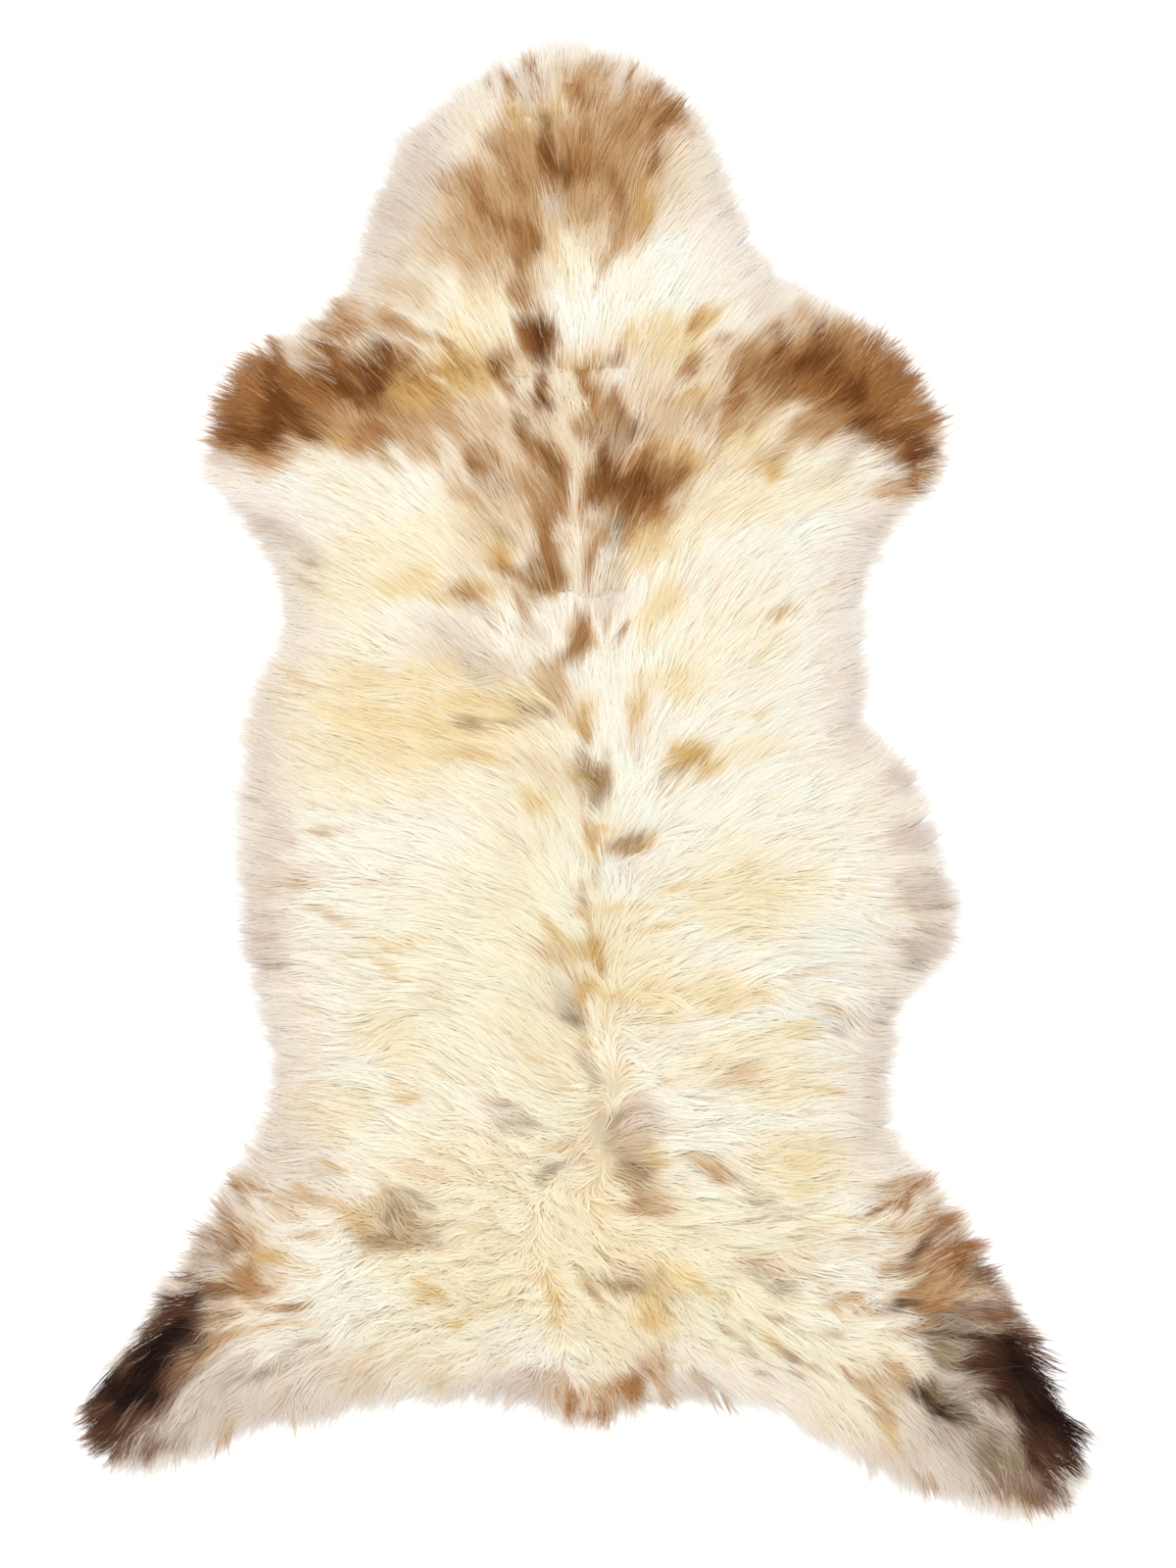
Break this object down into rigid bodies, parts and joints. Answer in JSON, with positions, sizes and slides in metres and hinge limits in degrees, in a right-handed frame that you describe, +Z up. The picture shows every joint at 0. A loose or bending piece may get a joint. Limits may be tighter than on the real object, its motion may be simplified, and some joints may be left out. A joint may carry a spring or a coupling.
{
  "type": "sheepskin rug",
  "caption": "Natural sheepskin rug in the outline of the whole pelt, lying flat: a thin skin underneath and a deep, lumpy fleece with wool locks around its rim.",
  "frame": {"origin": "middle of the rug's box, on the surface that it lies on", "axes": "+Z up out of the floor; +Y from the tail to the neck; +X to the right when the fleece is seen from above with the neck at the top"},
  "size_m": [0.7426, 1.101, 0.0451],
  "materials": {
    "wool": "long, soft, slightly glossy wool in ivory and cream, with tan, golden, dark brown and grey-beige markings",
    "skin": "tanned flesh side, pale tan suede with a short nap"
  },
  "bodies": {
    "root": {"sheepskin": "wool"}
  },
  "joints": []
}
